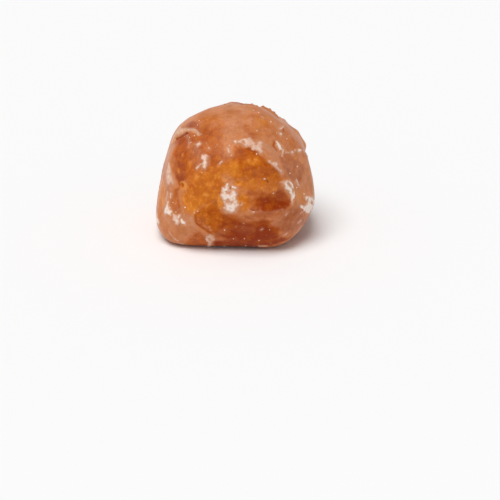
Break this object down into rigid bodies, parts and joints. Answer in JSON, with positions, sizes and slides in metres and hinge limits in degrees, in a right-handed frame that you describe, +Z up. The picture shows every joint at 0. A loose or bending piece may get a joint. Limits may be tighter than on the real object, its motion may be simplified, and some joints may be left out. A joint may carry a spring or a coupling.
{
  "type": "glazed yeast doughnut hole",
  "caption": "Round bite-sized ball of fried yeast dough, uneven and soft-cornered, under a cracked dried sugar glaze, standing on a flat underside.",
  "frame": {"origin": "centre of the bounding box at the underside, on the table", "axes": "+Z up; -Y is the side shown in the picture; +X is to its right"},
  "size_m": [0.044, 0.0414, 0.036],
  "materials": {
    "glazed_crust": "golden-brown fried crust under a thin satin film of dried sugar glaze",
    "dried_sugar": "flaking white sugar crust"
  },
  "bodies": {
    "root": {"doughnut": "glazed_crust"}
  },
  "joints": []
}
